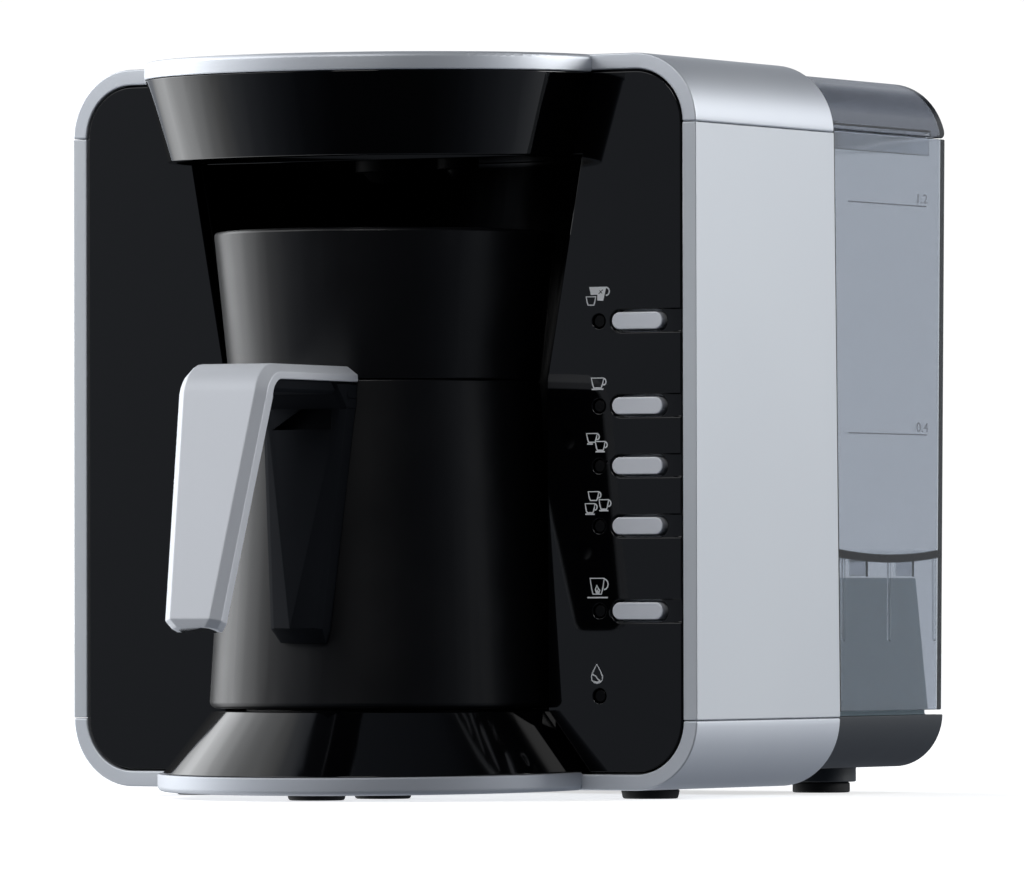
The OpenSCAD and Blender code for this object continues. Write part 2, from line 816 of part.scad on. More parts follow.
module tank_seal() {
    color("black") in_frame() translate([valve_x, valve_y, spigot_z - 1 + face_gap]) difference() {
        cylinder(h = 1 - 2 * face_gap, r = socket_r - gap);
        translate([0, 0, -1]) cylinder(h = 4, r = hose_r + 1);
    }
}

// ---- boards ----

module power_board() {
    color("darkgreen") in_frame() mirror([1, 0, 0]) difference() {
        union() {
            translate([power_x - board_t, 14, foot_h + 42]) cube([board_t, 54, 106]);
            translate([power_x - board_t - 18, 22, foot_h + 108]) cube([18, 30, 28]);
            translate([power_x - board_t - 12, 22, foot_h + 84]) cube([12, 22, 16]);
            for (z = [56, 72]) translate([0, 34, foot_h + z])
                pipe_x(power_x - board_t - 14, power_x - board_t, 6);
        }
        for (p = power_posts) translate([0, p[0], foot_h + p[1]])
            pipe_x(power_x - board_t - 1, power_x + 1, screw_r + gap);
    }
}

module button_board() {
    color("darkgreen") in_frame() difference() {
        union() {
            along_y(board_y, board_y + board_t) translate([board_x - board_w / 2, board_low])
                square([board_w, board_high - board_low]);
            for (z = button_z) {
                translate([button_x - 3, board_y - 3.5, z - 3]) cube([6, 3.5, 6]);
                translate([button_x, 0, z]) pipe_y(board_y - switch_h, board_y - 3.4, 1.5);
            }
            for (z = lamp_z) translate([lamp_x, 0, z]) pipe_y(board_y - 2, board_y, 1.5);
        }
        at_board_corners() pipe_y(board_y - 1, board_y + board_t + 1, 1 + gap);
    }
}

module board_screws() {
    color("silver") in_frame() {
        at_board_corners() {
            pipe_y(board_y + board_t + face_gap, board_y + board_t + 1.6, 2);
            pipe_y(board_y - 5, board_y + board_t + 1, 1 - run_gap);
        }
        mirror([1, 0, 0]) for (p = power_posts) translate([0, p[0], foot_h + p[1]]) {
            pipe_x(power_x - board_t - 2, power_x - board_t - face_gap, 2.8);
            pipe_x(power_x - board_t - 1, power_x + 5, screw_r - run_gap);
        }
    }
}

module case_screws() {
    color("silver") in_frame() for (side = [-1, 1], dir = [-1, 1]) corner_boss(side, dir) {
        pipe_y(bulk_y - boss_l + 4, bulk_y + bulk_t + 1, screw_r - face_gap);
        pipe_y(bulk_y + bulk_t + face_gap, bulk_y + bulk_t + screw_head_t, 3);
    }
}

module lamp_lenses() {
    color("gray") in_frame() for (z = lamp_z) translate([lamp_x, 0, z])
        pipe_y(fascia_set + 0.5, board_y - 2 - face_gap, lamp_r - 0.4);
}

// ---- feet ----

foot_spots = [[-75.5, 25], [75.5, 25], [bay_x, -38], [bay_x + 4, -8]];

// Room under the housing, or under the falling trim in front of it
function foot_room(y) = foot_h - face_gap - tan(front_fall) * max(0, foot_r - y);

module housing_feet() {
    color([0.08, 0.08, 0.08]) in_frame() for (p = foot_spots) translate([p[0], p[1], 0])
        cylinder(h = foot_room(p[1]), r1 = foot_r - 0.6, r2 = foot_r);
}

module rear_feet() {
    color([0.08, 0.08, 0.08]) in_frame() rear_boss(foot_r, 0, foot_h + 0.4);
}

// ---- buttons ----

module button(i) {
    lip_y = fascia_back + gap;
    color("silver") in_frame() translate([button_x, 0, button_z[i]]) {
        along_y(fascia_set - button_proud, lip_y + lip_t) pill(button_w, button_h);
        along_y(lip_y, lip_y + lip_t) pill(button_w + 4, button_h + 4);
        pipe_y(lip_y + lip_t - 0.5, lip_y + lip_t + stem_l, 1.8);
    }
}

module large_cup_button() {
    button(0);
}

module one_cup_button() {
    button(1);
}

module two_cup_button() {
    button(2);
}

module three_cup_button() {
    button(3);
}

module slow_brew_button() {
    button(4);
}

// ---- water tank ----

// One horizontal slice of the tank's tapered box
module tank_slice(z, front, rear, inset) {
    w = 2 * (tank_half - inset);
    r = max(tank_corner_r - inset, 1);
    translate([0, front + inset, z]) linear_extrude(0.01)
        rounded_rect(w, rear - front - 2 * inset, r, $fn = 32);
}

module tank_box(inset, z0, z1) {
    k0 = (z0 - tank_z) / (tank_top - tank_z);
    k1 = (z1 - tank_z) / (tank_top - tank_z);
    front = [tank_front_low, tank_front_top];
    rear = [tank_rear_low, tank_rear_top];
    hull() {
        tank_slice(z0, front[0] + (front[1] - front[0]) * k0, rear[0] + (rear[1] - rear[0]) * k0, inset);
        tank_slice(z1 - 0.01, front[0] + (front[1] - front[0]) * k1,
            rear[0] + (rear[1] - rear[0]) * k1, inset);
    }
}

// A cylinder across the tank whose underside is the sagging floor
module floor_drum(r) {
    translate([0, tank_mid_y, floor_z + floor_r]) pipe_x(-far, far, r);
}

rib_spots = [6, 17.5, 29, 41, 52];
ear_w = 4;

module water_tank() {
    color([0.6, 0.63, 0.68, 0.45]) in_frame() {
        difference() {
            union() {
                difference() {
                    tank_box(0, tank_z, tank_top);
                    intersection() {
                        tank_box(tank_wall, tank_z, tank_top + 1);
                        floor_drum(floor_r);
                    }
                    difference() {
                        tank_box(tank_wall, tank_z - 1, tank_top);
                        translate([0, 0, floor_r + floor_t])
                            translate([0, tank_mid_y, floor_z - floor_t]) pipe_x(-far, far, floor_r + floor_t);
                    }
                }
                translate([valve_x, valve_y, spigot_z]) cylinder(h = floor_z - spigot_z, r = spigot_r);
                at_hinges() {
                    pipe_x(-ear_w / 2, ear_w / 2, hinge_r - 0.2);
                    translate([-ear_w / 2, -1.2, -hinge_r - 1.4]) cube([ear_w, 2.4, hinge_r + 1.4]);
                }
                translate([-tank_half + 16, tank_rear_top - 0.5, tank_top - 3.2])
                    cube([2 * (tank_half - 16), 0.5 + lip_out, 2.4]);
            }
            translate([valve_x, valve_y, spigot_z - 1]) cylinder(h = 40, r = spigot_bore);
            at_hinges() pipe_x(-ear_w, ear_w, pin_r + run_gap);
        }
        for (side = [-1, 1], i = [0 : 4]) tank_rib(side, i);
    }
}

// Short ribs that stiffen the floor where it meets the side walls
module tank_rib(side, i) {
    long = i % 2 == 0;
    rib_l = long ? 27 : tower_gap + floor_sag - 0.6;
    x_out = tank_half - tank_wall + 0.2;
    y = tank_front_top + rib_spots[i] * tank_depth / 58;
    translate([side > 0 ? x_out - (long ? 1 : 6) : -x_out, y, floor_z + floor_sag - rib_l])
        cube([long ? 1 : 6, 1.2, rib_l - floor_t]);
}

module tank_valve_guide() {
    color("white") in_frame() translate([valve_x, valve_y, 0]) difference() {
        translate([0, 0, floor_z + 3.4 + valve_lift]) union() {
            cylinder(h = 3, r = 8);
            for (turn = [45 : 90 : 315]) rotate([0, 0, turn]) translate([5.9, -1, -valve_lift - 2.8])
                cube([2, 2, valve_lift + 4]);
        }
        translate([0, 0, floor_z]) cylinder(h = 40, r = stem_r + run_gap);
    }
}

module tank_valve() {
    color("white") in_frame() translate([valve_x, valve_y, 0]) {
        translate([0, 0, spigot_z + 1]) cylinder(h = floor_z - spigot_z + 12, r = stem_r);
        translate([0, 0, floor_z + floor_sag * 0.2 + gap]) cylinder(h = 2.2, r1 = 5.6, r2 = 5.2);
    }
}

module lid_hinge_pins() {
    color("silver") in_frame() at_hinges() pipe_x(-6.5, 6.5, pin_r);
}

knuckle_l = 4.5;

module lid_section(inset) {
    w = 2 * (tank_half - inset);
    h = 2 * lid_r + 10;
    translate([0, lid_top - inset - h]) rounded_rect(w, h, lid_r - inset);
}

module at_hinges() {
    for (side = [-1, 1]) translate([side * hinge_x, hinge_y, hinge_z]) children();
}

// The lid's collar, which drops inside the tank's rim on three sides
module lid_collar() {
    collar_h = 5.5;
    collar_t = 1.2;
    collar_gap = 0.8;
    half = tank_half - tank_wall - collar_gap;
    y0 = tank_front_top + tank_wall + collar_gap;
    ledge_half = tank_half - tank_wall / 2;
    depth = hinge_y - 5 - y0;
    difference() {
        union() {
            translate([-half, y0, lid_z - collar_h]) cube([2 * half, depth, collar_h + 1]);
            translate([-ledge_half, y0 - tank_wall / 2 - collar_gap, lid_z])
                cube([2 * ledge_half, depth + tank_wall / 2 + collar_gap, 1.5]);
        }
        translate([collar_t - half, y0 + collar_t, lid_z - collar_h - 1])
            cube([2 * (half - collar_t), tank_depth, collar_h + 4]);
    }
}

module tank_lid() {
    front = tank_front_top + 0.1;
    ear_gap = ear_w / 2 + 0.4;
    color([0.5, 0.53, 0.57, 0.6]) in_frame() difference() {
        union() {
            difference() {
                along_y(front, tank_rear_top) intersection() {
                    lid_section(0);
                    band(lid_z, top_z);
                }
                along_y(front + tank_wall, tank_rear_top - tank_wall) intersection() {
                    lid_section(tank_wall);
                    band(lid_z - 1, top_z);
                }
                difference() {
                    translate([-far, hinge_y, lid_z - 1]) cube([2 * far, 10, hinge_r + 1]);
                    translate([0, hinge_y, hinge_z]) pipe_x(-far, far, hinge_r);
                }
            }
            lid_collar();
            at_hinges() pipe_x(-ear_gap - knuckle_l, ear_gap + knuckle_l, hinge_r);
        }
        at_hinges() {
            translate([-ear_gap, -3.4, -hinge_r - 1]) cube([2 * ear_gap, 10, hinge_r + 4.4]);
            pipe_x(-12, 12, pin_r + run_gap);
        }
    }
}

// ---- jug ----

// Outer radius of the jug below its neck, at a height above the base
function jug_r(z) = jug_base_r + (jug_neck_r - jug_base_r) * z / jug_neck_h;

collar_h = 5;

module in_jug() {
    on_axis() translate([0, 0, plate_z + face_gap]) rotate([0, 0, jug_turn]) children();
}

module jug_body() {
    top = jug_neck_h - gap / 2;
    color([0.1, 0.1, 0.11]) in_jug() rotate_extrude() polygon([[jug_r(0) - 1.2, 0], [jug_r(1.2), 1.2],
        [jug_r(top), top], [jug_r(top) - jug_wall, top], [jug_r(0) - jug_wall, 0]]);
}

module jug_funnel() {
    low = jug_neck_h + gap / 2;
    inner = jug_neck_r - jug_wall;
    color([0.1, 0.1, 0.11]) in_jug() rotate_extrude() polygon([[jug_neck_r, low],
        [jug_rim_r - 0.3, jug_h - 1], [jug_rim_r - 0.5, jug_h - 0.3], [jug_rim_r - 1, jug_h],
        [jug_rim_r - jug_wall, jug_h], [inner - gap, low + collar_h],
        [inner - gap - jug_wall, low + collar_h - 2], [inner - gap - jug_wall, low - collar_h],
        [inner - gap, low - collar_h], [inner - gap, low]]);
}

module jug_pot() {
    z0 = 3;
    top = jug_neck_h - collar_h - gap;
    out = jug_wall + gap + 0.1;
    color("silver") in_jug() rotate_extrude() polygon([[0, z0], [jug_r(z0) - out - 3, z0],
        [jug_r(z0 + 3) - out, z0 + 3], [jug_r(top) - out, top], [jug_r(top) - out - pot_wall, top],
        [jug_r(z0 + 4) - out - pot_wall, z0 + 4], [jug_r(z0) - out - 4, z0 + pot_wall],
        [0, z0 + pot_wall]]);
}

module jug_base() {
    color([0.15, 0.15, 0.16]) in_jug() difference() {
        cylinder(h = 3 - face_gap, r = jug_base_r - jug_wall - gap - 0.3);
        translate([0, 0, -1]) cylinder(h = 1.5, r = 8);
    }
}

// ---- handle ----

grip_steps = [0.33, 0.66, tip_share, 1];

// Stations along the handle's outer line: reach, height, turn, and the share of the grip passed
stations = concat([[arm_start, handle_top, 0, 0], [arm_end, handle_top, 0, 0]],
    [for (a = [bend_turn / 6 : bend_turn / 6 : bend_turn + 0.1])
        [arm_end + handle_bend_r * sin(a), handle_top - handle_bend_r * (1 - cos(a)), a, 0]],
    [for (s = grip_steps) [grip_start[0] + s * grip_len * grip_dir[0],
        grip_start[1] + s * grip_len * grip_dir[1], bend_turn, s]]);

function station_w(s) = handle_w + (grip_end_w - handle_w) * min(s, tip_share) - (s == 1 ? 3.6 : 0);
function station_in(s) = s == 1 ? 1.3 : 0;
function at_station(st, u, d) = [u, -(st[0] - d * sin(st[2])), st[1] - d * cos(st[2])];

// Half outline of the skin's channel: width from the middle and depth from the outer face
function skin_half(w, depth) = [[w / 2 - bevel_w, 0], [w / 2, bevel_d], [w / 2, depth],
    [w / 2 - skin_t, depth], [w / 2 - skin_t, bevel_d + 0.5], [w / 2 - bevel_w - 0.4, skin_t]];
function both_sides(half) = concat(half, [for (i = [len(half) - 1 : -1 : 0]) [-half[i][0], half[i][1]]]);
function skin_reach(arm, s) = skin_arm_depth + (skin_depth - skin_arm_depth) * arm
    + (skin_end_depth - skin_depth) * s;
function skin_ring(st) = let (w = station_w(st[3]), s = st[3], in = station_in(s),
    arm = st[2] / bend_turn,
    depth = skin_reach(arm, s))
    [for (p = both_sides(skin_half(w, depth))) at_station(st, p[0], p[1] + in)];

function core_half(w, depth) = let (a = w / 2 - skin_t - core_gap)
    [[w / 2 - bevel_w - 0.4 - core_gap, skin_t + core_gap], [a, bevel_d + 0.5 + core_gap],
    [a, depth - 1], [a - 1, depth]];
function core_ring(st) = let (w = station_w(st[3]), s = st[3], in = station_in(s),
    arm = st[2] / bend_turn,
    depth = core_depth + (skin_end_depth - skin_depth) * s - in)
    [for (p = both_sides(core_half(w, depth))) at_station(st, p[0], p[1] + in)];

spine_low = grip_low - 5;
spine_top_w = 27.4;
spine_low_w = 16.6;
spine_proud = 5.4;
pocket_w = 18.8; // pocket in the spine under the arm
pocket_h = 6;
pocket_drop = 12;
pocket_z = handle_top - pocket_drop - pocket_h;
pocket_floor = -jug_r(pocket_z) - spine_proud / 3;

// Horizontal outline of the spine at a height: a shallow ridge in front, the jug behind
module spine_slice(z, w, proud) {
    front = jug_r(z) + proud;
    translate([0, 0, z]) linear_extrude(0.01) polygon([[-w / 2, -jug_r(z) + 8], [-w / 2, 1.8 - front],
        [1.6 - w / 2, 0.6 - front], [0, -front], [w / 2 - 1.6, 0.6 - front], [w / 2, 1.8 - front],
        [w / 2, -jug_r(z) + 8]]);
}

module jug_clear() {
    rotate_extrude() polygon([[0, -1], [jug_base_r + core_gap, -1], [jug_base_r + core_gap, 0],
        [jug_neck_r + core_gap, jug_neck_h], [jug_rim_r + core_gap, jug_h], [0, jug_h]]);
}

screw_spots = [0.2, 0.7];

module at_grip_screws() {
    for (s = screw_spots) {
        reach = grip_start[0] + s * grip_len * grip_dir[0];
        z = grip_start[1] + s * grip_len * grip_dir[1];
        translate([0, -reach, z]) rotate([grip_lean, 0, 0]) children();
    }
}

module handle_core() {
    color([0.08, 0.08, 0.09]) in_jug() difference() {
        union() {
            loft([for (st = stations) core_ring(st)]);
            hull() {
                spine_slice(spine_low + 4, spine_low_w, spine_proud + 1.2);
                spine_slice(handle_top - 9, spine_top_w, spine_proud);
            }
            hull() {
                spine_slice(spine_low, spine_low_w - 2, 2.4);
                spine_slice(spine_low + 4, spine_low_w, spine_proud + 1.2);
            }
            hull() {
                spine_slice(handle_top - 12, spine_top_w - 0.2, spine_proud);
                spine_slice(handle_top - 5, spine_top_w, spine_proud + 7);
            }
        }
        jug_clear();
        translate([-pocket_w / 2, pocket_floor - 20, pocket_z]) cube([pocket_w, 20, pocket_h]);
        at_grip_screws() {
            pipe_y(skin_t + 1.4, 20, 1.4);
            pipe_y(5.2, 20, 2.6);
        }
    }
}

module handle_skin() {
    color("silver") in_jug() difference() {
        loft([for (st = stations) skin_ring(st)]);
        jug_clear();
    }
}

module handle_screws() {
    color("silver") in_jug() at_grip_screws() {
        pipe_y(skin_t + 1.6, 5.6, 1.4 - 2 * run_gap);
        pipe_y(5.4, 6.6, 2.4);
    }
}

top_shell();
bottom_shell();
right_side_panel();
left_side_panel();
front_panel();
bay_liner();
canopy_shield();
canopy_trim();
plinth_shield();
plinth_trim();
heater_plate();
heating_element();
temperature_sensor();
water_spout();
foam_sensor();
rear_bulkhead();
rear_base();
water_pump();
suction_hose();
delivery_hose();
power_board();
button_board();
lamp_lenses();
case_screws();
board_screws();
cord_gland();
tank_seal();
housing_feet();
rear_feet();
large_cup_button();
one_cup_button();
two_cup_button();
three_cup_button();
slow_brew_button();
water_tank();
tank_valve_guide();
lid_hinge_pins();
tank_lid();
tank_valve();
jug_body();
jug_funnel();
jug_pot();
jug_base();
handle_core();
handle_skin();
handle_screws();
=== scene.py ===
import bpy
import bmesh
import json
import math
from mathutils import Matrix, Vector
from mathutils.bvhtree import BVHTree


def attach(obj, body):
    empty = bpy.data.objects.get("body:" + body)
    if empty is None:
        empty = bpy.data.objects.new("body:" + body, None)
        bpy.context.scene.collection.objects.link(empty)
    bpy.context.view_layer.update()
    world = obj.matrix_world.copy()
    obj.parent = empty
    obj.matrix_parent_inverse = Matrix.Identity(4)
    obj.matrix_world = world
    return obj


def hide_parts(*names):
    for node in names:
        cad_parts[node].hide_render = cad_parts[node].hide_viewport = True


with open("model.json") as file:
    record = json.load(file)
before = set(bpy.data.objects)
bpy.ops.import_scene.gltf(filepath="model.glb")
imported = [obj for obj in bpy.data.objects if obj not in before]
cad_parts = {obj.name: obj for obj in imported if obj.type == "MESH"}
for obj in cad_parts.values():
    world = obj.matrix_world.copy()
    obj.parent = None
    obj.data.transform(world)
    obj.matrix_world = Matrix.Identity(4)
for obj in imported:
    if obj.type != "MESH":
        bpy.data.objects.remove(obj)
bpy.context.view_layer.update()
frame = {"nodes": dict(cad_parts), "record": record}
nodes = frame["nodes"]
bodies = frame["record"]["behaviour"]["bodies"]
bodyOf = {node: body for body, names in bodies.items() for node in names}
slotOf = {part["node"]: part["material_slot"] for part in frame["record"]["subparts"]}
scene = bpy.context.scene
mm = 0.001
print("frame loaded:", len(nodes), "nodes")

cameraSetup = {
    "place": (1499.9, -2503.6, 54.7),  # mm
    "yaw": 30.35,  # degrees, round the upright axis
    "pitch": 1.0,
    "roll": -0.11,
    "lens": 353.53,  # mm, on a sensor this wide
    "sensor": 36,
    "shift": (-0.00176, -0.00684),
    "clip": (0.1, 60),  # m
}


def buildCamera(setup):
    data = bpy.data.cameras.new("camera")
    camera = bpy.data.objects.new("camera", data)
    scene.collection.objects.link(camera)
    turn = (Matrix.Rotation(math.radians(setup["yaw"]), 4, "Z")
            @ Matrix.Rotation(math.radians(90 + setup["pitch"]), 4, "X")
            @ Matrix.Rotation(math.radians(setup["roll"]), 4, "Z"))
    camera.matrix_world = Matrix.Translation(Vector(setup["place"]) * mm) @ turn
    data.lens = setup["lens"]
    data.sensor_width = setup["sensor"]
    data.shift_x, data.shift_y = setup["shift"]
    data.clip_start, data.clip_end = setup["clip"]
    scene.camera = camera


buildCamera(cameraSetup)
print("camera placed")


def colour(hexValue):
    # sRGB hex to linear, with full alpha
    parts = [int(hexValue[i:i + 2], 16) / 255 for i in (1, 3, 5)]
    return [c / 12.92 if c <= 0.04045 else ((c + 0.055) / 1.055) ** 2.4 for c in parts] + [1]


def addNode(tree, kind, settings=None, inputs=None):
    # an input is named or numbered, and takes a value or the output of another node
    node = tree.nodes.new(kind)
    for name, value in (settings or {}).items():
        setattr(node, name, value)
    for name, value in (inputs or {}).items():
        socket = node.inputs[name]
        if isinstance(value, tuple) and isinstance(value[0], bpy.types.Node):
            tree.links.new(value[0].outputs[value[1]], socket)
        else:
            socket.default_value = value
    return node


# The Mix node's sockets for numbers, vectors and colours share their names, so they go by number
floatPair, vectorPair, colourPair = (2, 3), (4, 5), (6, 7)
floatResult, vectorResult, colourResult = 0, 1, 2

# The room is a white cove behind and beside the machine, dark on the camera's side. Each ramp
# gives brightness along one axis: side runs to the camera's right, away runs from the camera,
# up runs up, all from -1 to 1. Walls are multiplied by their height ramps.
studio = {
    "turn": cameraSetup["yaw"],  # the cove faces the camera
    "brightest": 2.5,  # a ramp holds values up to one, so it holds shares of this
    "dimTint": "#dbe8ff",  # the room's dark side is bluer than its paper
    "brightTint": "#fbfdff",
    "tintReach": 3.0,  # how soon the tint turns from dim to bright
    "seenPaper": 1.05,  # the backdrop's brightness, seen straight or through the clear tank
    "ramps": {
        "leftWall": ("away", [(-1, 0.02), (-0.8, 0.03), (-0.65, 0.09), (-0.55, 0.16), (-0.4, 0.28),
                              (-0.25, 0.42), (-0.1, 0.65), (0, 0.85), (0.2, 1.5), (0.45, 2.5),
                              (0.72, 2.3), (0.82, 1.2), (0.9, 0.4), (1, 0.15)]),
        "rightWall": ("away", [(-1, 0.02), (-0.8, 0.04), (-0.65, 0.12), (-0.5, 0.22), (-0.4, 0.3),
                               (-0.25, 0.42), (0, 0.8), (0.25, 0.6), (0.5, 0.38), (0.75, 0.32),
                               (1, 0.2)]),
        "rightShare": ("side", [(-0.2, 0), (0.1, 1)]),
        "leftHeight": ("up", [(-1, 0.5), (-0.5, 0.75), (-0.15, 1), (0.05, 1.6), (0.4, 1.7), (0.6, 1.2)]),
        "rightHeight": ("up", [(-1, 0.4), (-0.5, 0.6), (-0.15, 0.95), (0.05, 1.7), (0.38, 1.8),
                               (0.48, 0.1), (1, 0.05)]),
        "ceiling": ("side", [(-1, 1.5), (-0.6, 1.34), (-0.565, 0.92), (-0.513, 0.58), (-0.449, 0.3),
                             (-0.435, 0.03), (-0.25, 0.03), (-0.23, 0.13), (0, 0.11), (0.33, 0.08),
                             (0.5, 0.02), (1, 0.1)]),
        "ceilingShare": ("up", [(0.55, 0), (0.75, 1)]),
    },
}
softboxes = {
    "aimAt": (0, 0, 0.1),  # m
    "boxes": [
        # name, degrees left of the camera, degrees up, distance, width, height in m, watts
        ("leftSoftbox", 66, 30, 1.3, 0.8, 0.6, 3.2),
        ("frontSoftbox", 15, 34, 2.2, 0.7, 0.7, 9),
        ("rightSoftbox", -90, 18, 1.6, 0.5, 0.5, 8.2),
    ],
}
floorSetup = {
    "reach": 8,  # m
    "paper": "#fbfbfb",
    "roughness": 0.9,
    "glow": 0.62,  # lifts the matt paper to the backdrop's white
}


def buildRoom(setup):
    world = bpy.data.worlds.new("studio")
    world.use_nodes = True
    scene.world = world
    tree = world.node_tree
    place = addNode(tree, "ShaderNodeTexCoord")
    turned = addNode(tree, "ShaderNodeVectorRotate", {"rotation_type": "Z_AXIS"}, {
        "Vector": (place, "Generated"), "Angle": math.radians(-setup["turn"])})
    split = addNode(tree, "ShaderNodeSeparateXYZ", {}, {"Vector": (turned, "Vector")})
    axes = {"side": "X", "away": "Y", "up": "Z"}
    brightest = setup["brightest"]
    ramps = {}
    for name, (axis, stops) in setup["ramps"].items():
        share = addNode(tree, "ShaderNodeMapRange", {}, {
            "Value": (split, axes[axis]), "From Min": -1.0, "From Max": 1.0})
        ramp = addNode(tree, "ShaderNodeValToRGB", {}, {"Fac": (share, "Result")})
        elements = ramp.color_ramp.elements
        while len(elements) < len(stops):
            elements.new(0.5)  # its place comes below
        for element, (at, value) in zip(elements, stops):
            element.position = (at + 1) / 2
            element.color = [value / brightest] * 3 + [1]
        ramps[name] = (ramp, "Color")

    multiply = {"operation": "MULTIPLY"}
    ofNumbers = {"data_type": "FLOAT"}
    left = addNode(tree, "ShaderNodeMath", multiply, {0: ramps["leftWall"], 1: ramps["leftHeight"]})
    right = addNode(tree, "ShaderNodeMath", multiply, {0: ramps["rightWall"], 1: ramps["rightHeight"]})
    rightShare = addNode(tree, "ShaderNodeMath", multiply, {0: ramps["rightShare"], 1: brightest})
    walls = addNode(tree, "ShaderNodeMix", ofNumbers, {
        "Factor": (rightShare, "Value"), floatPair[0]: (left, "Value"), floatPair[1]: (right, "Value")})
    walls = addNode(tree, "ShaderNodeMath", multiply, {0: (walls, floatResult), 1: brightest})
    above = addNode(tree, "ShaderNodeMath", multiply, {0: ramps["ceilingShare"], 1: brightest})
    room = addNode(tree, "ShaderNodeMix", ofNumbers, {
        "Factor": (above, "Value"), floatPair[0]: (walls, "Value"), floatPair[1]: ramps["ceiling"]})
    brightness = addNode(tree, "ShaderNodeMath", multiply, {0: (room, floatResult), 1: brightest})
    tinting = addNode(tree, "ShaderNodeMath", multiply, {
        0: (room, floatResult), 1: setup["tintReach"]})
    tint = addNode(tree, "ShaderNodeMix", {"data_type": "RGBA"}, {
        "Factor": (tinting, "Value"), colourPair[0]: colour(setup["dimTint"]),
        colourPair[1]: colour(setup["brightTint"])})
    light = addNode(tree, "ShaderNodeVectorMath", {"operation": "SCALE"}, {
        0: (tint, colourResult), "Scale": (brightness, "Value")})
    # what is seen straight, or through the clear tank, is plain white paper
    ray = addNode(tree, "ShaderNodeLightPath")
    seen = addNode(tree, "ShaderNodeMath", {"operation": "MAXIMUM"}, {
        0: (ray, "Is Camera Ray"), 1: (ray, "Is Transmission Ray")})
    final = addNode(tree, "ShaderNodeMix", {"data_type": "VECTOR"}, {
        "Factor": (seen, "Value"), vectorPair[0]: (light, "Vector"),
        vectorPair[1]: [setup["seenPaper"]] * 3})
    tree.links.new(final.outputs[vectorResult], tree.nodes["Background"].inputs["Color"])
    scene.view_settings.view_transform = "Standard"


def hangSoftboxes(setup, yaw):
    across = Vector((math.cos(math.radians(yaw)), math.sin(math.radians(yaw)), 0))
    toCamera = Vector((across.y, -across.x, 0))
    for name, azimuth, rise, distance, width, height, watts in setup["boxes"]:
        turn, lift = math.radians(azimuth), math.radians(rise)
        aim = math.cos(lift) * (math.cos(turn) * toCamera - math.sin(turn) * across)
        aim.z = math.sin(lift)
        data = bpy.data.lights.new(name, "AREA")
        data.shape = "RECTANGLE"
        data.size, data.size_y = width, height
        data.energy = watts
        light = bpy.data.objects.new(name, data)
        light.location = Vector(setup["aimAt"]) + aim * distance
        light.rotation_euler = (-aim).to_track_quat("-Z", "Y").to_euler()
        light.visible_camera = False
        scene.collection.objects.link(light)


def layFloor(setup):
    sheet = bmesh.new()
    bmesh.ops.create_grid(sheet, x_segments=1, y_segments=1, size=setup["reach"])
    mesh = bpy.data.meshes.new("floor")
    sheet.to_mesh(mesh)
    sheet.free()
    floor = bpy.data.objects.new("floor", mesh)
    scene.collection.objects.link(floor)
    paper = bpy.data.materials.new("whiteBackdropPaper")
    paper.use_nodes = True
    shader = paper.node_tree.nodes["Principled BSDF"]
    shader.inputs["Base Color"].default_value = colour(setup["paper"])
    shader.inputs["Roughness"].default_value = setup["roughness"]
    shader.inputs["Emission Color"].default_value = (1, 1, 1, 1)
    shader.inputs["Emission Strength"].default_value = setup["glow"]
    mesh.materials.append(paper)
    floor.visible_glossy = False  # the machine mirrors the room, not its floor
    floor.visible_diffuse = False


buildRoom(studio)
hangSoftboxes(softboxes, studio["turn"])
layFloor(floorSetup)
print("studio built")


# Every surface has slow noise in its gloss, and most have fine noise as grain. Both are sized in mm
noiseSetup = {
    "slowDetail": 3.0,
    "fineDetail": 2.0,
    "roughness": 0.55,
    "low": 0.3, "high": 0.7,  # nearly all of the noise lies between these
}


def startMaterial(name, driftMm, detail, glossLow, glossHigh):
    # the gloss wanders between two roughnesses, in blotches about driftMm across
    material = bpy.data.materials.new(name)
    material.use_nodes = True
    tree = material.node_tree
    shader = tree.nodes["Principled BSDF"]
    place = addNode(tree, "ShaderNodeTexCoord")
    scaled = addNode(tree, "ShaderNodeMapping", {}, {
        "Vector": (place, "Object"), "Scale": (1000 / driftMm,) * 3})
    noise = addNode(tree, "ShaderNodeTexNoise", {}, {
        "Vector": (scaled, "Vector"), "Scale": 1.0, "Detail": detail, "Roughness": noiseSetup["roughness"]})
    gloss = addNode(tree, "ShaderNodeMapRange", {}, {
        "Value": (noise, "Fac"), "From Min": noiseSetup["low"], "From Max": noiseSetup["high"],
        "To Min": glossLow, "To Max": glossHigh})
    tree.links.new(gloss.outputs["Result"], shader.inputs["Roughness"])
    return material, tree, shader, noise


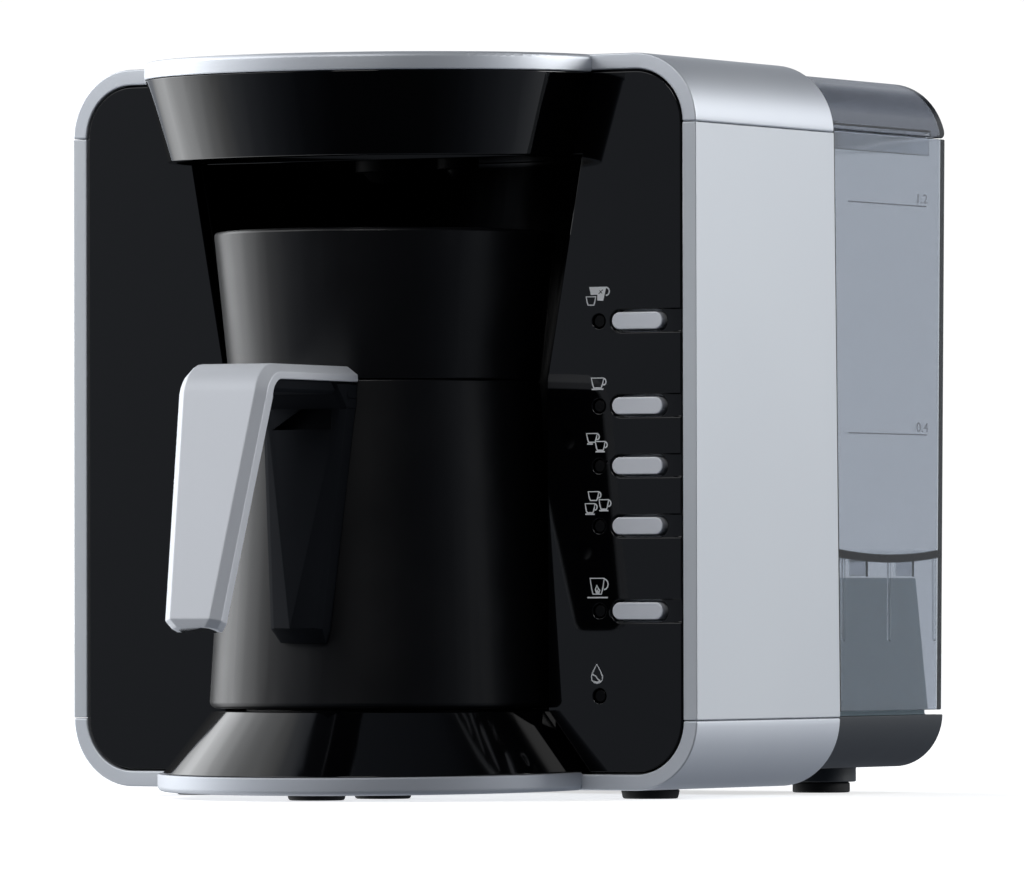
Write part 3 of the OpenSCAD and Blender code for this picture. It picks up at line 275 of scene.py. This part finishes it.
# A moulded, lacquered or metal surface: two near colours that drift with the gloss, and a grain given
# as its width and depth. Real flake and grain are about 0.1 mm wide, too fine to show, so they are
# drawn a few times coarser.
def surface(name, colours, drift, roughness, spread, grain=None, **fixed):
    material, tree, shader, noise = startMaterial(
        name, drift, noiseSetup["slowDetail"], roughness - spread, roughness + spread)
    mix = addNode(tree, "ShaderNodeMix", {"data_type": "RGBA"}, {
        "Factor": (noise, "Fac"), colourPair[0]: colour(colours[0]), colourPair[1]: colour(colours[1])})
    tree.links.new(mix.outputs[colourResult], shader.inputs["Base Color"])
    if grain:
        width, depth = grain
        place = addNode(tree, "ShaderNodeTexCoord")
        scaled = addNode(tree, "ShaderNodeMapping", {}, {
            "Vector": (place, "Object"), "Scale": (1000 / width,) * 3})
        fine = addNode(tree, "ShaderNodeTexNoise", {}, {
            "Vector": (scaled, "Vector"), "Scale": 1.0, "Detail": noiseSetup["fineDetail"],
            "Roughness": noiseSetup["roughness"]})
        bump = addNode(tree, "ShaderNodeBump", {}, {
            "Height": (fine, "Fac"), "Strength": 1.0, "Distance": depth * mm})
        tree.links.new(bump.outputs["Normal"], shader.inputs["Normal"])
    for socket, value in fixed.items():
        shader.inputs[socket.replace("_", " ")].default_value = value
    return material


# Clear plastic: its tint colours what passes a face, and its dye darkens what is seen edge on
def clearPlastic(name, tint, drift, roughness, spread, dye, density, index):
    material, tree, shader, noise = startMaterial(
        name, drift, noiseSetup["fineDetail"], roughness - spread, roughness + spread)
    shader.inputs["Base Color"].default_value = colour(tint)
    shader.inputs["Transmission Weight"].default_value = 1.0
    shader.inputs["IOR"].default_value = index
    depth = addNode(tree, "ShaderNodeVolumeAbsorption", {}, {"Color": colour(dye), "Density": density})
    tree.links.new(depth.outputs["Volume"], tree.nodes["Material Output"].inputs["Volume"])
    return material


# Silver lacquer on ABS: aluminium flake under a satin clear coat, so it is metallic but soft
silverLacquer = surface("silverLacquerOnAbs", ("#dde1e8", "#e2e6eb"), drift=40, roughness=0.5,
                        spread=0.02, grain=(0.5, 0.003), Metallic=0.62)
# The plinth's trim is the silver lacquer made greyer and flatter: painted shade for the dim light near the
# floor
shadedPlinthTrimLacquer = surface("silverLacquerShadedOnPlinthTrim", ("#c6cbd3", "#ccd0d7"), drift=40, roughness=0.52,
                      spread=0.02, grain=(0.5, 0.003), Metallic=0.35)
# The side panels' lacquer is paler and closer to a matt paint
paleSideLacquer = surface("paleSilverSideLacquer", ("#d7dbe0", "#dbdfe3"), drift=60, roughness=0.5,
                          spread=0.02, grain=(0.6, 0.004), Metallic=0.5)
# The grip's lacquer is nearly a paint: a soft silver without sparkle
handleLacquer = surface("handleSilverLacquer", ("#d9dce2", "#dde0e5"), drift=30, roughness=0.5,
                        spread=0.02, grain=(0.4, 0.003), Metallic=0.2, Specular_IOR_Level=0.25)
# Buttons: the brightest lacquer, smooth from the finger
buttonLacquer = surface("buttonSatinSilver", ("#eff2f8", "#f3f5fa"), drift=10, roughness=0.4, spread=0.02,
                        grain=(0.3, 0.002), Metallic=0.3)
# Polished black ABS: a mirror with a faint waviness from moulding
pianoBlackAbs = surface("pianoBlackAbs", ("#020203", "#030304"), drift=80, roughness=0.03, spread=0.008,
                        grain=(22, 0.008), IOR=1.5)
# The plinth's shield is wiped often, which takes the edge off its mirror
plinthBlackAbs = surface("plinthBlackAbs", ("#020203", "#030304"), drift=80, roughness=0.07, spread=0.01,
                         grain=(22, 0.008), IOR=1.5)
# The liner is the same plastic with a satin tool finish
linerBlack = surface("satinBlackLiner", ("#050506", "#070708"), drift=30, roughness=0.2, spread=0.03,
                     grain=(0.9, 0.008))
# Spark-eroded polypropylene: an even, low sheen
jugPolypropylene = surface("jugBlackPolypropylene", ("#0a0b0d", "#0d0d10"), drift=25, roughness=0.34,
                           spread=0.03, grain=(0.35, 0.010), Specular_IOR_Level=0.32)
# Glass-filled nylon: dry and matt, a little greyer than the jug
handleBlackNylon = surface("handleBlackNylon", ("#1a1c20", "#1f2125"), drift=20, roughness=0.7,
                           spread=0.03, grain=(0.4, 0.010), Specular_IOR_Level=0.03)
# Matt black plastic, darkened further as painted shade so that it disappears in the dark of the bay
spoutBlackShadedInBay = surface("mattSpoutPlasticBayShade", ("#040405", "#060607"), drift=10, roughness=0.6, spread=0.03,
                     grain=(0.4, 0.010), Specular_IOR_Level=0.2)
# Textured ABS: the base and bulkhead, a dull dark grey
darkGreyAbs = surface("darkGreyTexturedAbs", ("#33373c", "#393d41"), drift=20, roughness=0.42,
                      spread=0.04, grain=(0.5, 0.012))
# The tower under the tank is a paler blue grey, seen through the tank's wall
towerGrey = surface("towerBlueGreyAbs", ("#6e828c", "#74878f"), drift=25, roughness=0.45, spread=0.04,
                    grain=(0.5, 0.012))
# Moulded rubber: no sheen at all
footRubber = surface("footRubber", ("#101011", "#161617"), drift=8, roughness=0.75, spread=0.05,
                     grain=(0.4, 0.03))
# Non-stick enamel on the heater plate, dulled by use
plateEnamel = surface("heaterPlateEnamel", ("#17181a", "#1d1e20"), drift=6, roughness=0.5, spread=0.06,
                      grain=(0.4, 0.01))
# Steel tube that heat has browned in patches
elementSheath = surface("heatTintedSteelSheath", ("#8d867c", "#736d66"), drift=9, roughness=0.4,
                        spread=0.08, Metallic=1.0)
# Turned stainless steel: clean and fairly bright
sensorSteel = surface("turnedStainlessSteel", ("#b9bbbd", "#c5c6c8"), drift=6, roughness=0.28,
                      spread=0.04, Metallic=1.0)
# Zinc plate: cooler and patchier than stainless
screwSteel = surface("zincPlatedSteel", ("#afb1b2", "#c3c5c5"), drift=3, roughness=0.35, spread=0.05,
                     Metallic=1.0)
# The pot is drawn and brushed inside, so its gloss is even
potSteel = surface("brushedPotSteel", ("#b8b8b7", "#c6c5c3"), drift=12, roughness=0.3, spread=0.05,
                   Metallic=1.0)
# PBT in its natural brownish grey
pumpPlastic = surface("pumpHousingPbt", ("#8d8272", "#988d7d"), drift=12, roughness=0.45, spread=0.05,
                      grain=(0.5, 0.01))
# Silicone rubber is milky: a little light goes into it
siliconeHose = surface("siliconeHose", ("#d9d8d2", "#e2e1dc"), drift=10, roughness=0.4, spread=0.04,
                       Subsurface_Weight=0.15)
# Acetal in its natural white: smoother than the hose, and denser
valveAcetal = surface("whiteAcetal", ("#dedfdd", "#e6e6e4"), drift=9, roughness=0.35, spread=0.04,
                      Subsurface_Weight=0.1)
# Solder mask: a green varnish over copper
boardGreen = surface("boardSolderMask", ("#0d4a28", "#125a31"), drift=7, roughness=0.35, spread=0.05,
                     grain=(0.8, 0.02))
# Unlit lamps are almost as black as the fascia, but not as shiny
lampSmoke = surface("smokedLampLens", ("#020203", "#030304"), drift=2, roughness=0.35, spread=0.02,
                    Specular_IOR_Level=0.15)
# Smoked SAN: a clear grey wall that turns dark along its edges and floor
tankSan = clearPlastic("smokedTankSan", "#c7cad2", drift=50, roughness=0.08, spread=0.016,
                       dye="#72b0b0", density=45, index=1.5)
# The lid is dyed more deeply, so it looks a shade darker than the wall below it
lidSan = clearPlastic("smokedLidSan", "#9b9fa8", drift=50, roughness=0.06, spread=0.012,
                      dye="#8f9c9f", density=60, index=1.5)
# Screen-printed inks: matt, with a slightly uneven film
whiteInk = surface("whiteScreenInk", ("#f0f2f4", "#f6f7f8"), drift=4, roughness=0.5, spread=0.04)
blackInk = surface("blackScreenInk", ("#050506", "#08080a"), drift=4, roughness=0.4, spread=0.04)
markInk = surface("greyMarkInk", ("#7c808a", "#848892"), drift=5, roughness=0.5, spread=0.04)

finish = {
    "top_shell": silverLacquer, "bottom_shell": silverLacquer,
    "right_side_panel": paleSideLacquer, "left_side_panel": paleSideLacquer,
    "front_panel": pianoBlackAbs, "bay_liner": linerBlack,
    "canopy_shield": pianoBlackAbs, "canopy_trim": silverLacquer,
    "plinth_shield": plinthBlackAbs, "plinth_trim": shadedPlinthTrimLacquer,
    "heater_plate": plateEnamel, "heating_element": elementSheath,
    "temperature_sensor": sensorSteel, "water_spout": spoutBlackShadedInBay, "foam_sensor": spoutBlackShadedInBay,
    "rear_bulkhead": darkGreyAbs, "rear_base": darkGreyAbs, "water_pump": pumpPlastic,
    "suction_hose": siliconeHose, "delivery_hose": siliconeHose,
    "power_board": boardGreen, "button_board": boardGreen, "lamp_lenses": lampSmoke,
    "case_screws": screwSteel, "board_screws": screwSteel, "cord_gland": footRubber,
    "tank_seal": footRubber, "housing_feet": footRubber, "rear_feet": footRubber,
    "large_cup_button": buttonLacquer, "one_cup_button": buttonLacquer,
    "two_cup_button": buttonLacquer, "three_cup_button": buttonLacquer,
    "slow_brew_button": buttonLacquer,
    "water_tank": tankSan, "tank_valve_guide": valveAcetal, "lid_hinge_pins": screwSteel,
    "tank_lid": lidSan, "tank_valve": valveAcetal,
    "jug_body": jugPolypropylene, "jug_funnel": jugPolypropylene, "jug_pot": potSteel,
    "jug_base": jugPolypropylene, "handle_core": handleBlackNylon, "handle_skin": handleLacquer,
    "handle_screws": screwSteel,
}

for nodeName, material in finish.items():
    slots = nodes[nodeName].data.materials
    slots.clear()
    slots.append(material)
print("materials set on", len(finish), "nodes")


def addPiece(name, mesh, body, slot, material, *replaced):
    mesh.materials.append(material)
    piece = bpy.data.objects.new(name, mesh)
    scene.collection.objects.link(piece)
    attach(piece, body)
    if replaced:
        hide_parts(*replaced)
    return piece


def meshOf(name, shape):
    mesh = bpy.data.meshes.new(name)
    shape.to_mesh(mesh)
    shape.free()
    return mesh


# Moulded edges are never sharp: radius in mm, for folds of foldFrom degrees and more
roundedEdges = {
    "top_shell": 0.5, "bottom_shell": 0.5, "right_side_panel": 0.35, "left_side_panel": 0.35,
    "front_panel": 0.3, "bay_liner": 0.3, "canopy_shield": 0.4, "canopy_trim": 0.4,
    "plinth_shield": 0.4, "plinth_trim": 0.4, "heater_plate": 0.5, "water_spout": 0.25,
    "foam_sensor": 0.2, "rear_bulkhead": 0.4, "rear_base": 0.3, "cord_gland": 0.3,
    "lamp_lenses": 0.15, "housing_feet": 0.5, "rear_feet": 0.5, "large_cup_button": 0.4,
    "one_cup_button": 0.4, "two_cup_button": 0.4, "three_cup_button": 0.4, "slow_brew_button": 0.4,
    "water_tank": 0.3, "tank_lid": 0.5, "tank_valve": 0.2, "jug_body": 0.5, "jug_funnel": 0.5,
    "jug_pot": 0.3, "jug_base": 0.4, "handle_core": 0.15, "handle_skin": 0.3, "water_pump": 0.5,
    "power_board": 0.1, "button_board": 0.1, "handle_screws": 0.1, "case_screws": 0.1,
    "board_screws": 0.1, "lid_hinge_pins": 0.1,
}
rounding = {
    "foldFrom": {"canopy_trim": 45, "plinth_trim": 45},  # degrees, where not usualFold
    "usualFold": 30,
    "crispFrom": 16,  # a fold from here to the rounded ones stays a crisp line
    "flatTo": {"tank_lid": 3.0},  # degrees within which facets become one face, where not usualFlat
    "usualFlat": 1.0,
    "merge": 0.003,  # mm
    "segments": 2,
}
# Stretches of a moulding that look different, in mm of height: the lid's clear skirt, whose faces are
# cut along its seam, and the tower on the rear base, to a height above its top
secondFinish = {
    "tank_lid": {"material": tankSan, "from": 0, "to": 193.6, "cut": 193.6},
    "rear_base": {"material": towerGrey, "from": 24.5, "to": 100, "cut": None},
}
# The shallow ridge down the handle's core: the mm box that its points lie in, and its lift
spineRidge = {"x": (4.4, 5.5), "y": (-76, -69), "z": (48, 106), "lift": 2.2}


def raiseRidge(shape, setup):
    ridge = [v for v in shape.verts
             if all(setup[axis][0] * mm < value < setup[axis][1] * mm for axis, value in zip("xyz", v.co))]
    bmesh.ops.translate(shape, verts=ridge, vec=(0, -setup["lift"] * mm, 0))


def roundEdges(nodeName, radius, setup):
    fold = setup["foldFrom"].get(nodeName, setup["usualFold"])
    flat = setup["flatTo"].get(nodeName, setup["usualFlat"])
    second = secondFinish.get(nodeName)
    shape = bmesh.new()
    shape.from_mesh(nodes[nodeName].data)
    bmesh.ops.remove_doubles(shape, verts=shape.verts, dist=setup["merge"] * mm)
    bmesh.ops.dissolve_limit(shape, angle_limit=math.radians(flat), verts=shape.verts, edges=shape.edges)
    if nodeName == "handle_core":
        raiseRidge(shape, spineRidge)
    if second and second["cut"]:
        bmesh.ops.bisect_plane(shape, geom=shape.verts[:] + shape.edges[:] + shape.faces[:],
                               plane_co=(0, 0, second["cut"] * mm), plane_no=(0, 0, 1))
    for edge in shape.edges:
        if edge.is_manifold and setup["crispFrom"] < math.degrees(edge.calc_face_angle()) < fold:
            edge.smooth = False
    for face in shape.faces:
        face.smooth = True
        if second and second["from"] * mm < face.calc_center_median().z < second["to"] * mm:
            face.material_index = 1
        else:
            face.material_index = 0
    piece = addPiece(nodeName + "_rounded", meshOf(nodeName + "Rounded", shape), bodyOf[nodeName],
                     slotOf[nodeName], finish[nodeName], nodeName)
    if second:
        piece.data.materials.append(second["material"])
    edges = piece.modifiers.new("edges", "BEVEL")
    edges.width = radius * mm
    edges.segments = setup["segments"]
    edges.limit_method = "ANGLE"
    edges.angle_limit = math.radians(fold)
    edges.use_clamp_overlap = False
    evened = piece.modifiers.new("evenedShading", "WEIGHTED_NORMAL")
    evened.keep_sharp = True


for nodeName, radius in roundedEdges.items():
    roundEdges(nodeName, radius, rounding)
print("edges rounded on", len(roundedEdges), "mouldings")

# Prints are drawn flat, with x across the machine and z up from the lower seam, in mm
iconSetup = {
    "face": -18.415,  # the fascia's front
    "seam": 22.7,
    "stroke": 0.46,
    "proud": 0.028,
}
# A cup's outline and ring handle, in shares of its width and height
cupShape = {
    "outline": [(0, 1), (0.1, 0.35), (0.2, 0), (0.8, 0), (0.9, 0.35), (1, 1)],
    "ringAt": (0.97, 0.62),
    "ring": 0.34,
    "ringWidth": 0.95,
    "ringStep": 30,  # degrees, over half a turn
    "saucer": (0.02, 0.98),
    "saucerDrop": 0.42,  # mm
}


def cupStrokes(x, z, width, height, saucer=True):
    # x and z are the cup's lower left corner
    outline = [(x + across * width, z + up * height) for across, up in cupShape["outline"]]
    ringX, ringZ = cupShape["ringAt"]
    ring = []
    for degrees in range(0, 181, cupShape["ringStep"]):
        turn = math.radians(degrees)
        reach = cupShape["ring"] * height * math.sin(turn) * cupShape["ringWidth"]
        ring.append((x + width * ringX + reach, z + height * (ringZ + cupShape["ring"] * math.cos(turn))))
    strokes = [(outline, True), (ring, False)]
    if saucer:
        drop = z - cupShape["saucerDrop"]
        strokes.append(([(x + share * width, drop) for share in cupShape["saucer"]], False))
    return strokes


def curveToMesh(curve, drawing, place):
    # drawing scales or moves the curve while it is flat, and place puts it on its wall
    holder = bpy.data.objects.new("holder", curve)
    scene.collection.objects.link(holder)
    graph = bpy.context.evaluated_depsgraph_get()
    mesh = bpy.data.meshes.new_from_object(holder.evaluated_get(graph))
    bpy.data.objects.remove(holder)
    mesh.transform(place @ drawing)
    return mesh


def strokeMesh(name, strokes, width, proud, place):
    # ink lines: round lines pressed flat, then put on their wall by place
    line = bpy.data.curves.new(name, "CURVE")
    line.dimensions = "3D"
    line.bevel_depth = width / 2 * mm
    line.bevel_resolution = 1
    line.use_fill_caps = True
    for points, closed in strokes:
        spline = line.splines.new("POLY")
        spline.points.add(len(points) - 1)
        for point, (x, z) in zip(spline.points, points):
            point.co = (x * mm, z * mm, 0, 1)
        spline.use_cyclic_u = closed
    return curveToMesh(line, Matrix.Diagonal((1, 1, 2 * proud / width, 1)), place)


def inkPatch(name, outline, proud, place):
    # a filled print
    shape = bmesh.new()
    face = shape.faces.new([shape.verts.new((x * mm, z * mm, 0)) for x, z in outline])
    raised = bmesh.ops.extrude_face_region(shape, geom=[face])["geom"]
    bmesh.ops.translate(shape, verts=[v for v in raised if isinstance(v, bmesh.types.BMVert)],
                        vec=(0, 0, proud * mm))
    bmesh.ops.recalc_face_normals(shape, faces=shape.faces)
    mesh = meshOf(name, shape)
    mesh.transform(place)
    return mesh


icons = {
    "one_cup_icon": cupStrokes(70.4, 94.7, 4.1, 2.8),
    "two_cup_icon": (cupStrokes(68.8, 79.2, 3.5, 2.5, False) + [([(69.0, 78.7), (70.9, 78.7)], False)]
                     + cupStrokes(71.7, 76.9, 3.2, 2.5)),
    "three_cup_icon": (cupStrokes(69.3, 62.6, 3.5, 2.5, False) + cupStrokes(72.9, 60.1, 3.1, 2.7)
                       + cupStrokes(68.3, 59.1, 3.2, 2.6)),
    "slow_brew_icon": (cupStrokes(69.9, 35.9, 4.6, 4.5, False) + [
        ([(69.0, 34.9), (75.7, 34.9)], False),
        ([(71.9, 36.3), (71.6, 37.2), (72.1, 38.4), (72.6, 37.4), (73.1, 37.0), (72.8, 36.2)], True),
        ([(72.2, 36.4), (72.2, 37.2)], False), ([(72.6, 36.2), (72.5, 36.9)], False)]),
    "water_icon": [
        ([(72.0, 15.9), (70.9, 14.0), (70.25, 12.5), (70.4, 11.4), (71.2, 10.7), (72.1, 10.5),
          (73.0, 10.7), (73.8, 11.4), (73.9, 12.5), (73.2, 14.0)], True),
        ([(70.6, 13.0), (71.6, 12.6), (72.4, 11.6), (73.1, 11.2)], False),
        ([(71.0, 11.0), (72.1, 10.8), (73.2, 11.1)], False)],
    "large_cup_icon": cupStrokes(68.8, 118.3, 3.1, 2.4, False)[:1],
}
# The large cup is a filled one behind a small one, with a black spark on it
filledCup = {
    "outline": [(69.8, 123.5), (70.3, 121.25), (72.45, 121.25), (72.45, 119.6), (74.4, 119.5),
                (75.4, 123.5)],
    "proud": iconSetup["proud"],
    "handleOf": (70.6, 120.0, 4.8, 3.5),  # the cup whose ring it has
    "handleStroke": 0.5,
    "spark": [([(72.9, 121.5), (74.3, 122.7)], False), ([(73.2, 122.5), (74.0, 121.6)], False)],
    "sparkStroke": 0.34,
    "sparkProud": 0.045,  # on top of the white
}
upright = Matrix(((1, 0, 0, 0), (0, 0, -1, 0), (0, 1, 0, 0), (0, 0, 0, 1)))
onFascia = Matrix.Translation(Vector((0, iconSetup["face"], iconSetup["seam"])) * mm) @ upright


def printFilledCup(setup, place):
    mesh = inkPatch("filled_cup_icon", setup["outline"], setup["proud"], place)
    addPiece("filled_cup_icon", mesh, "housing", "button_silver", whiteInk)
    ring = cupStrokes(*setup["handleOf"], False)[1:]
    mesh = strokeMesh("filled_cup_handle", ring, setup["handleStroke"], setup["proud"], place)
    addPiece("filled_cup_handle", mesh, "housing", "button_silver", whiteInk)
    mesh = strokeMesh("filled_cup_spark", setup["spark"], setup["sparkStroke"], setup["sparkProud"], place)
    addPiece("filled_cup_spark", mesh, "housing", "black_gloss", blackInk)


for name, strokes in icons.items():
    mesh = strokeMesh(name, strokes, iconSetup["stroke"], iconSetup["proud"], onFascia)
    addPiece(name, mesh, "housing", "button_silver", whiteInk)
printFilledCup(filledCup, onFascia)
print("icons printed:", len(icons), "and the filled cup")

# Level marks on the tank's right wall, in mm, with the litres beside them
tankMarks = {
    "from": 73.5, "to": 122.0,  # the lines' ends, along the machine's depth
    "levels": [(173.1, "1.2"), (105.6, "0.4")],
    "stroke": 0.36, "proud": 0.03,
    "figure": 3.915, "spacing": 1.1, "widen": 1.45,
    "figureAt": 115.4, "figureLift": 0.9,
    "farOut": 130,  # clear of the tank's wall
    "wallSlack": 0.4,  # a mark this much out of line with its wall goes to the wall's outer end
}


def printTankMarks(setup):
    tank = bmesh.new()
    tank.from_mesh(nodes["water_tank"].data)
    wall = BVHTree.FromBMesh(tank)
    tank.free()
    turned = Matrix(((0, 0, 1, 0), (1, 0, 0, 0), (0, 1, 0, 0), (0, 0, 0, 1)))  # to face the right
    for level, litres in setup["levels"]:
        hits = [wall.ray_cast(Vector((setup["farOut"], along, level)) * mm, Vector((-1, 0, 0)))[0].x
                for along in (setup["from"], setup["to"])]
        outer = min(hits) if max(hits) - min(hits) < setup["wallSlack"] * mm else max(hits)
        place = Matrix.Translation((outer, 0, 0)) @ turned
        line = strokeMesh("mark", [([(setup["from"], level), (setup["to"], level)], False)],
                          setup["stroke"], setup["proud"], place)
        text = bpy.data.curves.new("figure", "FONT")
        text.body = litres
        text.size = setup["figure"] * mm
        text.space_character = setup["spacing"]
        text.extrude = setup["proud"] * mm
        at = Matrix.Translation(Vector((setup["figureAt"], level + setup["figureLift"], 0)) * mm)
        label = curveToMesh(text, at @ Matrix.Diagonal((setup["widen"], 1, 1, 1)), place)
        shape = bmesh.new()
        shape.from_mesh(line)
        shape.from_mesh(label)
        name = "level_mark_" + litres.replace(".", "_")
        addPiece(name, meshOf(name, shape), bodyOf["water_tank"], "dark_grey", markInk)


printTankMarks(tankMarks)
print("level marks printed:", len(tankMarks["levels"]))
